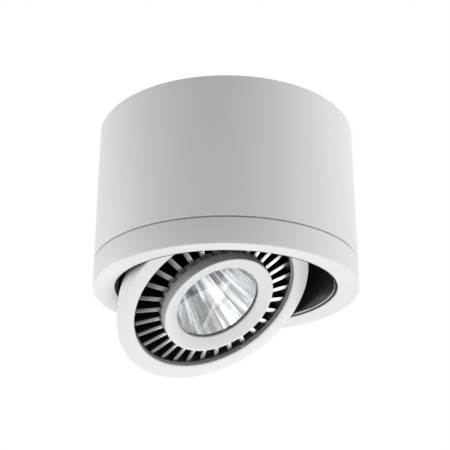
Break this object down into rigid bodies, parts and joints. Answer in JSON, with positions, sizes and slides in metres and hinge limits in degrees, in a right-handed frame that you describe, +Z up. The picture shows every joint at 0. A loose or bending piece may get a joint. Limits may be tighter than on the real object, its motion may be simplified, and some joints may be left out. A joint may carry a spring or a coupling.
{
  "type": "ceiling spotlight",
  "caption": "Surface mounted round ceiling spotlight with a finned eyeball head that swivels and tilts out of the can.",
  "frame": {"origin": "centre of the ceiling screw pattern, on the face that lies on the ceiling", "axes": "+Z up out of the ceiling face, the lamp hangs below; -Y is the side the picture looks at; the tilted head faces azimuth -45 degrees, towards +X and -Y"},
  "size_m": [0.15, 0.15, 0.1347],
  "materials": {
    "white_coat": "matt powder coat",
    "black_gloss": "gloss lacquer",
    "black_cast": "satin black on cast aluminium",
    "zinc_steel": "bright zinc plate",
    "mirror_bowl": "vacuum metallised, dimpled facets",
    "clear_glass": "clear polished",
    "black_rubber": "moulded",
    "white_plastic": "moulded",
    "grey_plastic": "moulded",
    "ceramic": "fired ceramic",
    "phosphor": "cast silicone with phosphor",
    "pad_grey": "silicone pad",
    "slip_white": "smooth low-friction sheet"
  },
  "bodies": {
    "fixture": {"housing_can": "white_coat", "shelf_lugs": "zinc_steel", "bezel_ring": "white_coat", "slide_washer": "slip_white", "keeper_clips": "zinc_steel", "stop_clip": "zinc_steel", "keeper_screws": "zinc_steel", "partition_plate": "zinc_steel", "partition_screws": "zinc_steel", "lead_grommet": "black_rubber", "driver_base": "white_plastic", "driver_lid": "white_plastic", "driver_screws": "zinc_steel", "terminal_block": "grey_plastic", "terminal_screws": "zinc_steel", "earth_screw": "zinc_steel", "ceiling_plate": "zinc_steel", "side_brackets": "zinc_steel", "side_screws": "zinc_steel", "cable_grommet": "black_rubber"},
    "swivel": {"swivel_ring": "black_gloss", "carrier_ring": "zinc_steel", "bracket_screws": "zinc_steel", "hinge_bracket_right": "zinc_steel", "hinge_bracket_left": "zinc_steel", "tilt_pin_right": "zinc_steel", "tilt_pin_left": "zinc_steel", "friction_washers": "zinc_steel", "lock_nuts": "zinc_steel"},
    "head": {"head_ring": "white_coat", "heat_sink": "black_cast", "ring_screws": "zinc_steel", "lens_ring": "white_coat", "lens_seal": "black_rubber", "lens": "clear_glass", "reflector": "mirror_bowl", "chip_holder": "white_plastic", "light_source": "ceramic", "emitter": "phosphor", "thermal_pad": "pad_grey", "holder_screws": "zinc_steel", "tilt_arm_right": "zinc_steel", "tilt_arm_left": "zinc_steel", "arm_screws": "zinc_steel"}
  },
  "joints": [
    {"name": "swivel_turn", "type": "hinge", "parent": "fixture", "child": "swivel", "pos_m": [0, 0, -0.085], "axis": [0, 0, 1], "range_deg": [-175, 175]},
    {"name": "head_tilt", "type": "hinge", "parent": "swivel", "child": "head", "pos_m": [0, 0, -0.1105], "axis": [-0.7071, -0.7071, 0], "range_deg": [-36, 4]}
  ]
}
